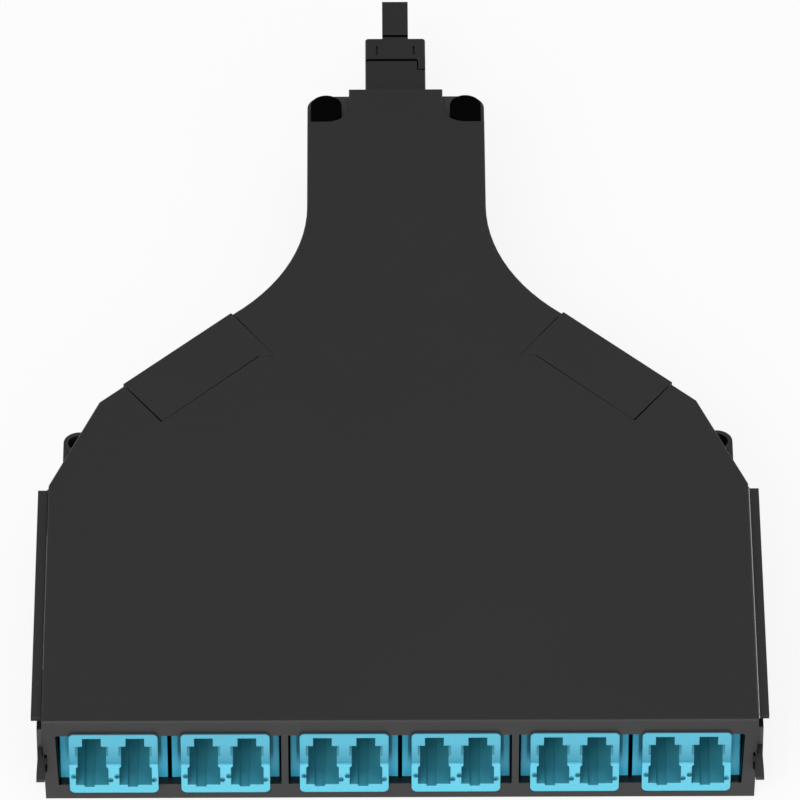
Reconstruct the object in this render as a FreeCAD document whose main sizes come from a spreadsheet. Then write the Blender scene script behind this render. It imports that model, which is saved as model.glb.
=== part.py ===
import FreeCAD, Part
import Sketcher
import math
import os

# A slide-in fibre cassette: six duplex adapters in front, one multi-fibre adapter behind
# Millimetres. X to the right, Y from the front face to the rear, Z up from the underside

doc = FreeCAD.newDocument("FibreCassette")

# Driving dimensions
SIZES = {
    # housing in plan
    "side_bar": 2.1,
    "side_length": 50.4,
    "chamfer_inset": 7.15,
    "chamfer_run": 18.3,
    "shoulder_run": 19.55,
    "sweep_inset": 11.2,
    "sweep_run": 24.75,
    "neck_width": 27.16,
    "neck_length": 27.1,
    "neck_corner_radius": 2.8,
    "tongue_overhang": 0.4,
    # housing in height
    "body_height": 15.25,
    "cover_thickness": 1.25,
    "cover_edge_bevel": 0.2,
    "wall": 1.2,
    "side_wall_inset": 0.9,
    "shoulder_wall_inset": 0.92,
    "front_plate": 1.6,
    "front_draft": 0.35,
    "top_bar_height": 2.8,
    "bottom_bar_height": 2.7,
    # walls beside the latches' tails and pivots
    "tail_room_start": 3.7,
    "tail_room_run": 6.5,
    "tail_room_inset": 3.9,
    "pivot_room": 0.9,
    "pivot_room_front": 5.0,
    # front windows
    "divider": 1.0,
    "flange_gap": 0.6,
    "flange_room": 0.3,
    "outer_room": 0.1,
    "window_side_draft": 0.35,
    "bay_rib": 0.5,
    "bay_rib_front": 6.0,
    "bay_rib_rear": 10.6,
    # duplex adapters
    "bezel_width": 12.8,
    "bezel_height": 11.7,
    "bezel_bottom": 1.4,
    "bezel_proud": 0.3,
    "bezel_radius": 0.6,
    "brow_depth": 0.45,
    "brow_height": 5.44,
    "flange_width": 15.5,
    "flange_thickness": 1.4,
    "adapter_length": 25.3,
    "adapter_play": 0.1,
    "keel_depth": 0.85,
    "keel_inset": 0.45,
    "port_pitch": 6.25,
    "port_depth": 11.1,
    "port_floor": 2.9,
    "port_width": 4.7,
    "port_waist": 4.1,
    "port_waist_bottom": 6.6,
    "port_waist_top": 10.4,
    "port_slot_width": 2.7,
    "port_slot_top": 12.1,
    "port_notch_width": 1.45,
    "port_notch_depth": 0.38,
    "port_notch_shift": -0.4,
    "port_step": 0.3,
    "ear_bottom": 8.4,
    "ear_depth": 0.8,
    "pip_radius": 0.36,
    "pip_depth": 0.7,
    "pip_shift": 2.67,
    "left_pip_height": 4.48,
    "right_pip_height": 3.77,
    "ferrule_axis": 5.9,
    "holder_radius": 1.4,
    "holder_length": 2.5,
    "partition": 1.8,
    "sleeve_radius": 0.81,
    "sleeve_bore_radius": 0.65,
    "sleeve_length": 6.8,
    "sleeve_play": 0.04,
    "ferrule_radius": 0.62,
    "ferrule_length": 3.8,
    # plugs, fibres and fan-out inside
    "plug_width": 4.4,
    "plug_length": 12.0,
    "plug_play": 0.15,
    "boot_radius": 1.2,
    "boot_length": 8.0,
    "fibre_radius": 0.45,
    "fibre_lead": 8.0,
    "fibre_bend": 16.0,
    "fanout_pitch": 1.0,
    "fanout_width": 13.6,
    "fanout_length": 12.0,
    "fanout_y": 100.0,
    "ribbon_radius": 1.5,
    # multi-fibre adapter, its plug and its cap
    "mpo_axis": 7.3,
    "mpo_width": 9.3,
    "mpo_height": 8.0,
    "mpo_inside": 11.0,
    "mpo_outside": 11.75,
    "mpo_wall": 1.1,
    "mpo_collar": 1.6,
    "mpo_collar_thickness": 1.6,
    "mpo_web": 2.0,
    "mpo_plug_length": 15.0,
    "mpo_ferrule_width": 5.2,
    "mpo_ferrule_height": 2.5,
    "mpo_ferrule_length": 7.0,
    "guide_pin_radius": 0.35,
    "guide_pin_pitch": 3.9,
    "guide_pin_length": 8.0,
    "mpo_plug_play": 0.15,
    "cap_length": 4.9,
    "cap_seam": 0.4,
    "cap_plug_length": 6.5,
    "cap_play": 0.15,
    "cap_tab_width": 4.0,
    "cap_tab_length": 10.2,
    "cap_tab_thickness": 1.6,
    "cap_groove_start": 1.65,
    "cap_groove_length": 0.55,
    "cap_groove_depth": 1.0,
    "cap_slot_length": 2.3,
    "cap_slot_width": 0.3,
    "cap_slot_start": 1.0,
    "cap_slot_spacing": 5.72,
    "cap_key_width": 1.3,
    "cap_key_length": 2.1,
    "cap_key_play": 0.2,
    # side latches
    "latch_strip": 0.7,
    "latch_bottom": 4.4,
    "latch_top": 11.85,
    "latch_gap": 0.1,
    "rail_width": 1.5,
    "rail_thickness": 0.64,
    "rail_cover_gap": 0.25,
    "rail_front": 2.5,
    "rail_rear": 50.8,
    "catch_y": 14.5,
    "catch_depth": 0.8,
    "pivot_inset": 4.2,
    "pivot_y": 63.3,
    "pivot_pin_radius": 1.6,
    "pivot_play": 0.06,
    "eye_wall": 0.69,
    "pivot_pin_top": 8.0,
    "tail_length": 6.5,
    "tab_top": 8.6,
    "tab_height": 3.0,
    "tab_reach": 5.0,
    "tab_tip_height": 0.5,
    "tab_width": 1.2,
    "tab_step": 3.2,
    "tab_step_width": 0.4,
    "kerb_width": 0.9,
    "kerb_front": 4.0,
    "kerb_rear": 14.0,
    "kerb_drop": 0.2,
    "neck_play": 0.65,
    # clips and rivets
    "clip_start": 3.7,
    "clip_edge_x": 5.7,
    "clip_edge_y": 8.0,
    "clip_arm_x": 6.4,
    "clip_arm_y": 9.3,
    "clip_notch": 2.3,
    "clip_gap": 0.15,
    "clip_proud": 0.2,
    "clip_skirt": 0.7,
    "clip_lip": 0.8,
    "clip_lip_thickness": 0.6,
    "rivet_x": 10.7,
    "rivet_inset": 3.7,
    "rivet_head_radius": 2.38,
    "rivet_head_rear": 0.25,
    "rivet_head_corner": 2.1,
    "rivet_outer_corner": 0.6,
    "rivet_shank_radius": 1.2,
    "rivet_length": 8.0,
    "rivet_play": 0.05,
    "rivet_bevel": 0.12,
    "cutout_radius": 3.5,
    "corner_block_lap": 0.8,
    # ribs under the cover and marks under the floor
    "cover_rib": 0.8,
    "cover_rib_height": 1.6,
    "cover_rib_play": 0.2,
    "mark_radius": 2.0,
    "mark_depth": 0.15,
    "mark_x": 35.0,
    "front_mark_y": 30.0,
    "rear_mark_y": 58.0,
    "neck_mark_y": 110.0,
}

sheet = doc.addObject("Spreadsheet::Sheet", "Sizes")
for row, (alias, value) in enumerate(SIZES.items(), start=1):
    sheet.set(f"A{row}", alias)
    sheet.set(f"B{row}", str(value))
    sheet.setAlias(f"B{row}", alias)
doc.recompute()


class Size:
    """A length together with the sheet formula that gives it."""

    def __init__(self, value, formula):
        self.value = value
        self.formula = formula

    def __add__(self, other):
        other = as_size(other)
        return Size(self.value + other.value, f"({self.formula} + {other.formula})")

    def __sub__(self, other):
        other = as_size(other)
        return Size(self.value - other.value, f"({self.formula} - {other.formula})")

    def __mul__(self, other):
        other = as_size(other)
        return Size(self.value * other.value, f"({self.formula} * {other.formula})")

    def __truediv__(self, other):
        other = as_size(other)
        return Size(self.value / other.value, f"({self.formula} / {other.formula})")

    def __rsub__(self, other):
        return as_size(other) - self

    def __neg__(self):
        return self * -1

    __radd__ = __add__
    __rmul__ = __mul__


def as_size(length):
    """Take a plain number as a size too."""
    if isinstance(length, Size):
        return length
    return Size(float(length), f"({float(length)})")


def cell(alias):
    """The size that the sheet holds under this name."""
    return Size(float(sheet.get(alias)), f"Sizes.{alias}")


def bind(thing, path, length):
    """Tie one property of a feature to its formula."""
    thing.setExpression(path, as_size(length).formula)


# Outlines and features


def start_body(label):
    body = doc.addObject("PartDesign::Body", label)
    body.Label = label
    bind(body, "Placement.Base.y", front_y)
    return body


def attach(body, plane, start):
    """Put an empty sketch on an origin plane, shifted to where the feature starts."""
    sketch = body.newObject("Sketcher::SketchObject", "Outline")
    for feature in body.Origin.OriginFeatures:
        if feature.Role == plane + "_Plane":
            sketch.AttachmentSupport = (feature, [""])
    sketch.MapMode = "FlatFace"
    if plane == "XZ":
        start = as_size(start) * -1
    bind(sketch, "AttachmentOffset.Base.z", start)
    return sketch


def arc_centre(start, end, radius):
    """The centre of an arc between two corners: on the left of the way for a plus radius."""
    chord = end - start
    middle = (start + end) * 0.5
    left = FreeCAD.Vector(-chord.y, chord.x, 0).normalize()
    height = math.sqrt(max(radius * radius - chord.Length * chord.Length / 4, 0))
    return middle + left * math.copysign(height, radius)


def draw(body, plane, corners, start=0):
    """Close an outline through the corners. A third entry rounds the way to the next corner."""
    sketch = attach(body, plane, start)
    points = []
    for corner in corners:
        points.append(FreeCAD.Vector(as_size(corner[0]).value, as_size(corner[1]).value, 0))
    firsts = []
    lasts = []
    for index, corner in enumerate(corners):
        here = points[index]
        there = points[(index + 1) % len(points)]
        if len(corner) == 2:
            sketch.addGeometry(Part.LineSegment(here, there), False)
            firsts.append(1)
            lasts.append(2)
            continue
        radius = as_size(corner[2]).value
        centre = arc_centre(here, there, radius)
        circle = Part.Circle(centre, FreeCAD.Vector(0, 0, 1), abs(radius))
        first, last = (here, there) if radius > 0 else (there, here)
        begin = math.atan2(first.y - centre.y, first.x - centre.x)
        finish = math.atan2(last.y - centre.y, last.x - centre.x)
        sketch.addGeometry(Part.ArcOfCircle(circle, begin, finish), False)
        firsts.append(1 if radius > 0 else 2)
        lasts.append(2 if radius > 0 else 1)
    for index, corner in enumerate(corners):
        after = (index + 1) % len(corners)
        sketch.addConstraint(Sketcher.Constraint("Coincident", index, lasts[index], after, firsts[after]))
        across = ("DistanceX", -1, 1, index, firsts[index], points[index].x)
        upward = ("DistanceY", -1, 1, index, firsts[index], points[index].y)
        bind(sketch, f"Constraints[{sketch.addConstraint(Sketcher.Constraint(*across))}]", corner[0])
        bind(sketch, f"Constraints[{sketch.addConstraint(Sketcher.Constraint(*upward))}]", corner[1])
        if len(corner) == 3:
            radius = as_size(corner[2])
            size = radius if radius.value > 0 else -radius
            round_off = sketch.addConstraint(Sketcher.Constraint("Radius", index, size.value))
            bind(sketch, f"Constraints[{round_off}]", size)
    return sketch


def draw_discs(body, plane, centres, radius, start=0):
    """Draw equal circles about the given centres."""
    sketch = attach(body, plane, start)
    for index, (across, upward) in enumerate(centres):
        centre = FreeCAD.Vector(as_size(across).value, as_size(upward).value, 0)
        circle = Part.Circle(centre, FreeCAD.Vector(0, 0, 1), as_size(radius).value)
        sketch.addGeometry(circle, False)
        places = [
            (("DistanceX", -1, 1, index, 3, centre.x), across),
            (("DistanceY", -1, 1, index, 3, centre.y), upward),
            (("Radius", index, as_size(radius).value), radius),
        ]
        for rule, length in places:
            bind(sketch, f"Constraints[{sketch.addConstraint(Sketcher.Constraint(*rule))}]", length)
    return sketch


def pad(body, sketch, length):
    """Raise the outline towards plus X, plus Y or plus Z."""
    feature = body.newObject("PartDesign::Pad", "Pad")
    feature.Profile = sketch
    feature.Reversed = "XZ_Plane" in sketch.AttachmentSupport[0][0].Role
    bind(feature, "Length", length)
    return feature


def pocket(body, sketch, length):
    """Cut the outline towards plus X, plus Y or plus Z."""
    feature = body.newObject("PartDesign::Pocket", "Pocket")
    feature.Profile = sketch
    feature.Reversed = "XZ_Plane" not in sketch.AttachmentSupport[0][0].Role
    bind(feature, "Length", length)
    return feature


def rectangle(left, right, low, high):
    return [(left, low), (right, low), (right, high), (left, high)]


def mirrored(corners):
    """Close an outline that is given from the front to the rear along its right half."""
    left = []
    for index in range(len(corners) - 1, -1, -1):
        corner = (-as_size(corners[index][0]), corners[index][1])
        before = corners[index - 1] if index else ()
        left.append(corner + (before[2],) if len(before) == 3 else corner)
    return corners + left


def on_side(corners, side):
    """Keep an outline on the right, or turn it over to the left."""
    turned = []
    for corner in corners:
        flipped = (as_size(corner[0]) * side, corner[1])
        turned.append(flipped + (corner[2] * side,) if len(corner) == 3 else flipped)
    return turned


def picked_edges(shape, wanted):
    """Names of the edges whose middle and direction pass a test."""
    names = []
    for number, edge in enumerate(shape.Edges, start=1):
        ends = [vertex.Point for vertex in edge.Vertexes]
        if len(ends) < 2:
            continue
        middle = edge.valueAt((edge.FirstParameter + edge.LastParameter) / 2)
        if wanted(middle, ends[1] - ends[0]):
            names.append(f"Edge{number}")
    return names


def dress(body, kind, base, wanted, length):
    """Round or bevel the edges of the last feature that pass a test."""
    doc.recompute()
    feature = body.newObject("PartDesign::" + kind, kind)
    feature.Base = (base, picked_edges(base.Shape, wanted))
    bind(feature, "Radius" if kind == "Fillet" else "Size", length)
    return feature


def close_to(first, second):
    return abs(first - as_size(second).value) < 0.02


# Places that several pieces share
window_width = (cell("flange_width") + cell("flange_room")) * 2 + cell("flange_gap")
window_pitch = window_width + cell("divider")
adapter_offset = (cell("flange_width") + cell("flange_gap")) / 2
half_width = window_pitch + window_width / 2 + cell("outer_room") + cell("side_bar")
half_neck = cell("neck_width") / 2
body_height = cell("body_height")
wall = cell("wall")
corner_x = half_width - cell("chamfer_inset")
corner_y = cell("side_length") + cell("chamfer_run")
shoulder_x = half_neck + cell("sweep_inset")
shoulder_y = corner_y + cell("shoulder_run")
neck_y = shoulder_y + cell("sweep_run")
rear_y = neck_y + cell("neck_length")
cover_bottom = body_height - cell("cover_thickness")
bar_bottom = body_height - cell("top_bar_height")
rivet_y = rear_y - cell("rivet_inset")
side_wall_x = half_width - cell("side_wall_inset")
plate_front_x = half_width - cell("front_draft")
mpo_outer_y = rear_y + cell("mpo_outside")
cap_start_y = mpo_outer_y + cell("cap_seam")
cap_end_y = cap_start_y + cell("cap_length")
total_rear_y = cap_end_y + cell("cap_tab_length")
front_y = (cell("tab_reach") - total_rear_y) / 2


def sweep_radius(inset, run):
    """Radius of an arc that runs into the neck without a corner."""
    return (inset * inset + run * run) / (inset * 2)


def shoulder_point(along):
    """A point of the shoulder's edge, measured across from its outer corner."""
    slope = cell("shoulder_run") / (corner_x - shoulder_x)
    return corner_x - along, corner_y + slope * along


# Housing


def cover_outline():
    radius = sweep_radius(cell("sweep_inset"), cell("sweep_run"))
    tongue_x = cell("rivet_x") - cell("cutout_radius")
    cutout_y = rivet_y - cell("cutout_radius")
    return mirrored([
        (half_width, 0),
        (half_width, cell("side_length")),
        (corner_x, corner_y),
        (shoulder_x, shoulder_y, -radius),
        (half_neck, neck_y),
        (half_neck, cutout_y),
        (cell("rivet_x"), cutout_y, -cell("cutout_radius")),
        (tongue_x, rivet_y),
        (tongue_x, rear_y + cell("tongue_overhang")),
    ])


def clip_outline(gap, beyond=0):
    """The clip's plate in plan, grown on all inner edges by a gap and past the shoulder by a share."""
    outer_x, outer_y = shoulder_point(cell("clip_start") - gap)
    inner_x = shoulder_x - cell("clip_arm_x") - gap
    inner_y = shoulder_y - cell("clip_arm_y") - gap
    return [
        (outer_x + cell("clip_edge_x") * beyond, outer_y + cell("clip_edge_y") * beyond),
        (shoulder_x - gap + cell("clip_arm_x") * beyond, shoulder_y + gap + cell("clip_arm_y") * beyond),
        (inner_x, inner_y),
        (inner_x + cell("clip_notch"), inner_y),
        (outer_x - cell("clip_edge_x"), outer_y - cell("clip_edge_y") - gap),
    ]


def make_cover():
    body = start_body("top_cover")
    plate = pad(body, draw(body, "XY", cover_outline(), cover_bottom), cell("cover_thickness"))

    def top_edge(middle, way):
        return close_to(middle.z, body_height)

    dress(body, "Chamfer", plate, top_edge, cell("cover_edge_bevel"))
    lip = rectangle(-half_width, half_width, 0, cell("front_plate"))
    pad(body, draw(body, "XY", lip, bar_bottom), cover_bottom - bar_bottom)
    for side in (1, -1):
        seat = draw(body, "XY", on_side(clip_outline(cell("clip_gap"), 0.1), side), cover_bottom)
        pocket(body, seat, cell("cover_thickness"))
    add_cover_ribs(body)
    return body


def add_cover_ribs(body):
    """Ribs that drop inside the side walls and the neck and keep the cover in place."""
    height = cell("cover_rib_height")
    width = cell("cover_rib")
    play = cell("cover_rib_play")
    side_x = side_wall_x - wall - play
    neck_x = half_neck - wall - play
    side_rear = cell("side_length") - cell("tail_room_start") - 1.5
    places = [
        (side_x, cell("adapter_length") + 1, side_rear),
        (neck_x, neck_y + 1, rivet_y - cell("cutout_radius") - cell("corner_block_lap") - 1),
    ]
    for side in (1, -1):
        for outer_x, front, rear in places:
            rib = on_side(rectangle(outer_x - width, outer_x, front, rear), side)
            pad(body, draw(body, "XY", rib, cover_bottom - height), height + 0.1)


def base_outline():
    """The walls in plan: beside each latch pivot they step inwards."""
    inset = cell("shoulder_wall_inset")
    pocket_x = half_width - cell("pivot_inset") - cell("pivot_pin_radius") - cell("eye_wall") - cell("pivot_room")
    bend_y = cell("side_length") - cell("tail_room_start")
    wall_shoulder_x = shoulder_x - inset
    wall_shoulder_y = shoulder_y - inset
    radius = sweep_radius(cell("sweep_inset") - inset, cell("sweep_run") + inset)
    slope = cell("shoulder_run") / (corner_x - shoulder_x)
    corner = cell("neck_corner_radius")
    return mirrored([
        (side_wall_x, 0),
        (side_wall_x, bend_y),
        (side_wall_x - cell("tail_room_inset"), bend_y + cell("tail_room_run")),
        (pocket_x, cell("pivot_y") - cell("pivot_room_front")),
        (pocket_x, wall_shoulder_y - slope * (pocket_x - wall_shoulder_x)),
        (wall_shoulder_x, wall_shoulder_y, -radius),
        (half_neck, neck_y),
        (half_neck, rear_y - corner, corner),
        (half_neck - corner, rear_y),
    ])


def floor_outline():
    radius = sweep_radius(cell("sweep_inset"), cell("sweep_run"))
    corner = cell("neck_corner_radius")
    return mirrored([
        (plate_front_x, 0),
        (plate_front_x, cell("kerb_front")),
        (half_width, cell("kerb_front")),
        (half_width, cell("side_length")),
        (corner_x, corner_y),
        (shoulder_x, shoulder_y, -radius),
        (half_neck, neck_y),
        (half_neck, rear_y - corner, corner),
        (half_neck - corner, rear_y),
    ])


def add_kerbs(body):
    """A low wall on the floor's edge under each latch, behind its tab."""
    top = cell("latch_bottom") - cell("kerb_drop")
    for side in (1, -1):
        kerb = rectangle(half_width - cell("kerb_width"), half_width, cell("kerb_front"), cell("kerb_rear"))
        pad(body, draw(body, "XY", on_side(kerb, side), wall - 0.2), top - wall + 0.2)


def make_base():
    body = start_body("base_shell")
    tub = pad(body, draw(body, "XY", base_outline()), cover_bottom)
    doc.recompute()
    shell = body.newObject("PartDesign::Thickness", "Shell")
    tops = []
    for number, face in enumerate(tub.Shape.Faces, start=1):
        if close_to(face.CenterOfMass.z, cover_bottom):
            tops.append(f"Face{number}")
    shell.Base = (tub, tops)
    shell.Reversed = True
    shell.Join = "Intersection"
    bind(shell, "Value", wall)
    pad(body, draw(body, "XY", floor_outline()), wall)
    half_top = half_width - cell("front_draft") * (body_height - bar_bottom) / body_height
    face = mirrored([(plate_front_x, 0), (half_top, bar_bottom)])
    pad(body, draw(body, "XZ", face), cell("front_plate"))
    pocket(body, draw(body, "XY", rectangle(-half_width, half_width, 0, cell("front_plate")), bar_bottom),
           body_height)
    cut_windows(body)
    cut_keel_notches(body)
    add_bay_ribs(body)
    add_kerbs(body)
    add_corner_blocks(body)
    add_pivots(body)
    cut_latch_notches(body)
    opening = rectangle(-(cell("mpo_width") / 2 + 0.1), cell("mpo_width") / 2 + 0.1,
                        cell("mpo_axis") - cell("mpo_height") / 2 - 0.1,
                        cell("mpo_axis") + cell("mpo_height") / 2 + 0.1)
    pocket(body, draw(body, "XZ", opening, rear_y - wall - 1), wall + 2)
    marks = [(0, cell("neck_mark_y"))]
    for side in (1, -1):
        marks.append((cell("mark_x") * side, cell("front_mark_y")))
        marks.append((cell("mark_x") * side, cell("rear_mark_y")))
    pocket(body, draw_discs(body, "XY", marks, cell("mark_radius"), -1), cell("mark_depth") + 1)
    return body


def cut_windows(body):
    """Three windows, open at the top, where the cover's lip closes them."""
    half = window_width / 2
    draft = cell("window_side_draft")
    low = cell("bottom_bar_height")
    for place in (-1, 0, 1):
        middle = window_pitch * place
        left_lean = draft if place < 0 else 0
        right_lean = draft if place > 0 else 0
        left_room = cell("outer_room") if place < 0 else 0
        right_room = cell("outer_room") if place > 0 else 0
        window = [
            (middle - half - left_room + left_lean, low),
            (middle + half + right_room - right_lean, low),
            (middle + half + right_room, bar_bottom),
            (middle + half + right_room, body_height),
            (middle - half - left_room, body_height),
            (middle - half - left_room, bar_bottom),
        ]
        pocket(body, draw(body, "XZ", window, -1), cell("front_plate") + 1)


def cut_keel_notches(body):
    """The windows' lower edges dip behind each bezel, where an adapter's keel goes through."""
    half = cell("bezel_width") / 2 - cell("keel_inset") + cell("adapter_play")
    low = cell("bottom_bar_height")
    for centre in adapter_centres():
        notch = rectangle(centre - half, centre + half, low - cell("keel_depth"), low + 0.2)
        pocket(body, draw(body, "XZ", notch, -1), cell("front_plate") + 2)


def add_bay_ribs(body):
    """Upright ribs behind the front, one between each two adapters."""
    divider = cell("divider")
    for place in (-1, 0, 1):
        middle = window_pitch * place
        half = cell("bay_rib") / 2
        rib = rectangle(middle - half, middle + half, cell("bay_rib_front"), cell("bay_rib_rear"))
        pad(body, draw(body, "XY", rib, wall - 0.2), bar_bottom - wall)
    for place in (-0.5, 0.5):
        middle = window_pitch * place
        rib = rectangle(middle - divider / 2, middle + divider / 2, cell("front_plate") - 0.4, cell("bay_rib_rear"))
        pad(body, draw(body, "XY", rib, wall - 0.2), bar_bottom - wall)


def add_corner_blocks(body):
    """Solid rear corners that show beside the cover's tongue and hold the rivets."""
    radius = cell("neck_corner_radius")
    inner = cell("rivet_x") - cell("cutout_radius") - cell("corner_block_lap")
    front = rivet_y - cell("cutout_radius") - cell("corner_block_lap")
    for side in (1, -1):
        block = on_side([
            (inner, front),
            (half_neck, front),
            (half_neck, rear_y - radius, radius),
            (half_neck - radius, rear_y),
            (inner, rear_y),
        ], side)
        pad(body, draw(body, "XY", block, wall - 0.2), cover_bottom - wall + 0.2)
    centres = [(cell("rivet_x") * side, rivet_y) for side in (1, -1)]
    bore = cell("rivet_shank_radius") + cell("rivet_play")
    depth = cell("rivet_length") + 1
    pocket(body, draw_discs(body, "XY", centres, bore, cover_bottom - depth), depth + 1)


def add_pivots(body):
    """A pin on a shoulder for each latch, on a lobe of the floor."""
    centres = [((half_width - cell("pivot_inset")) * side, cell("pivot_y")) for side in (1, -1)]
    pin = cell("pivot_pin_radius")
    shoulder = pin + cell("eye_wall")
    pad(body, draw_discs(body, "XY", centres, shoulder), cell("latch_bottom") - 0.1)
    pad(body, draw_discs(body, "XY", centres, pin, wall), cell("pivot_pin_top") - wall)


def cut_latch_notches(body):
    """Room in the front plate's edges for the latches' necks."""
    room = cell("neck_play")
    low = cell("tab_top") - cell("tab_height") - 0.3
    high = cell("tab_top") + 0.2
    for side in (1, -1):
        notch = rectangle(half_width - room, half_width + 1, low, high)
        pocket(body, draw(body, "XZ", on_side(notch, side), -1), cell("front_plate") + 1)


# Duplex adapters


def port_outline(centre):
    half = cell("port_width") / 2
    waist = cell("port_waist") / 2
    slot = cell("port_slot_width") / 2
    low = cell("port_floor")
    step = cell("port_step")
    right = [
        (half, low),
        (half, cell("port_waist_bottom") - step),
        (waist, cell("port_waist_bottom")),
        (waist, cell("port_waist_top")),
        (slot, cell("port_waist_top")),
        (slot, cell("port_slot_top")),
    ]
    return [(centre + across, upward) for across, upward in mirrored(right)]


def make_adapter(number, centre):
    body = start_body(f"lc_adapter_{number}")
    bind(body, "Placement.Base.x", centre)
    bezel_half = cell("bezel_width") / 2
    low = cell("bezel_bottom")
    high = low + cell("bezel_height")
    front = -cell("bezel_proud")
    plate = cell("front_plate")
    play = cell("adapter_play")
    bezel = pad(body, draw(body, "XZ", rectangle(-bezel_half, bezel_half, low, high), front),
                cell("bezel_proud"))
    dress(body, "Fillet", bezel, lambda middle, way: abs(way.y) > 0.1, cell("bezel_radius"))
    step = low + cell("brow_height")
    brow = [(front - 1, high), (front, high), (front + cell("brow_depth"), step), (front - 1, step)]
    pocket(body, draw(body, "YZ", brow, -bezel_half - 1), cell("bezel_width") + 2)
    neck_low = cell("bottom_bar_height") + play
    neck_high = bar_bottom - play
    neck = rectangle(-bezel_half, bezel_half, neck_low, neck_high)
    pad(body, draw(body, "XZ", neck), cell("adapter_length"))
    keel_half = bezel_half - cell("keel_inset")
    keel = rectangle(-keel_half, keel_half, neck_low - cell("keel_depth"), neck_low + 0.2)
    pad(body, draw(body, "XZ", keel), cell("adapter_length"))
    flange_half = cell("flange_width") / 2
    flange = rectangle(-flange_half, flange_half, wall + 0.05, cover_bottom - play)
    pad(body, draw(body, "XZ", flange, plate), cell("flange_thickness"))
    cut_ports(body, front)
    return body


def cut_ports(body, front):
    centres = [cell("port_pitch") * -0.5, cell("port_pitch") * 0.5]
    axis = cell("ferrule_axis")
    partition_front = front + cell("port_depth")
    partition_rear = partition_front + cell("partition")
    for centre in centres:
        pocket(body, draw(body, "XZ", port_outline(centre), front - 1), cell("port_depth") + 1)
        groove_x = centre + cell("port_notch_shift")
        groove_half = cell("port_notch_width") / 2
        groove = rectangle(groove_x - groove_half, groove_x + groove_half,
                           cell("port_floor") - cell("port_notch_depth"), cell("port_floor") + 0.5)
        pocket(body, draw(body, "XZ", groove, front - 1), cell("port_depth") + 1)
        ear_top = cell("port_waist_top")
        ear_front = front + cell("brow_depth")
        ramp = [
            (front - 1, cell("ear_bottom")),
            (ear_front, cell("ear_bottom")),
            (ear_front + cell("ear_depth"), ear_top),
            (front - 1, ear_top),
        ]
        pocket(body, draw(body, "YZ", ramp, centre - cell("port_width") / 2), cell("port_width"))
        for side, height in ((-1, cell("left_pip_height")), (1, cell("right_pip_height"))):
            pip = [(centre + cell("pip_shift") * side, height)]
            pocket(body, draw_discs(body, "XZ", pip, cell("pip_radius"), front - 1), cell("pip_depth") + 1)
        half = cell("plug_width") / 2 + cell("plug_play")
        rear = rectangle(centre - half, centre + half, axis - half, axis + half)
        pocket(body, draw(body, "XZ", rear, partition_rear), cell("adapter_length") + 1)
    places = [(centre, axis) for centre in centres]
    holder = cell("holder_length")
    barrel = holder * 2 + cell("partition")
    pad(body, draw_discs(body, "XZ", places, cell("holder_radius"), partition_front - holder), barrel)
    bore = cell("sleeve_radius") + cell("sleeve_play")
    pocket(body, draw_discs(body, "XZ", places, bore, partition_front - holder - 1), barrel + 2)


def adapter_centres():
    centres = []
    for window in (-1, 0, 1):
        for side in (-1, 1):
            centres.append(window_pitch * window + adapter_offset * side)
    return centres


def ferrule_centres():
    centres = []
    for adapter in adapter_centres():
        for side in (-0.5, 0.5):
            centres.append(adapter + cell("port_pitch") * side)
    return centres


# Groups of equal small solids


def rod(radius, length, across, along, upward):
    """A cylinder along Y that starts at the given place."""
    solid = doc.addObject("Part::Cylinder", "Rod")
    solid.Placement = FreeCAD.Placement(FreeCAD.Vector(), FreeCAD.Rotation(FreeCAD.Vector(1, 0, 0), -90))
    bind(solid, "Radius", radius)
    bind(solid, "Height", length)
    place(solid, across, along, upward)
    return solid


def block(width, length, height, across, along, upward):
    """A box centred on a place in X and Z that starts there in Y."""
    solid = doc.addObject("Part::Box", "Block")
    bind(solid, "Length", width)
    bind(solid, "Width", length)
    bind(solid, "Height", height)
    place(solid, across - as_size(width) / 2, along, upward - as_size(height) / 2)
    return solid


def place(solid, across, along, upward):
    bind(solid, "Placement.Base.x", across)
    bind(solid, "Placement.Base.y", as_size(along) + front_y)
    bind(solid, "Placement.Base.z", upward)


def joined(kind, first, second):
    """Fuse two solids, or cut the second from the first."""
    result = doc.addObject("Part::" + kind, kind)
    result.Base = first
    result.Tool = second
    return result


def group(label, members):
    compound = doc.addObject("Part::Compound", label)
    compound.Label = label
    compound.Links = members
    return compound


def make_sleeves():
    middle = cell("port_depth") - cell("bezel_proud") + cell("partition") / 2
    start = middle - cell("sleeve_length") / 2
    sleeves = []
    for across in ferrule_centres():
        outer = rod(cell("sleeve_radius"), cell("sleeve_length"), across, start, cell("ferrule_axis"))
        inner = rod(cell("sleeve_bore_radius"), cell("sleeve_length") + 2, across, start - 1,
                    cell("ferrule_axis"))
        sleeves.append(joined("Cut", outer, inner))
    return group("alignment_sleeves", sleeves)


def plug_front():
    return cell("port_depth") - cell("bezel_proud") + cell("partition") + cell("holder_length") + cell("plug_play")


def make_ferrules():
    start = plug_front() - cell("ferrule_length")
    ferrules = []
    for across in ferrule_centres():
        ferrules.append(rod(cell("ferrule_radius"), cell("ferrule_length"), across, start,
                            cell("ferrule_axis")))
    return group("lc_ferrules", ferrules)


def make_plugs():
    plugs = []
    width = cell("plug_width")
    boot_y = plug_front() + cell("plug_length")
    for across in ferrule_centres():
        shell = block(width, cell("plug_length"), width, across, plug_front(), cell("ferrule_axis"))
        boot = rod(cell("boot_radius"), cell("boot_length"), across, boot_y, cell("ferrule_axis"))
        plugs.append(joined("Fuse", shell, boot))
    return group("inner_lc_plugs", plugs)


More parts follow.
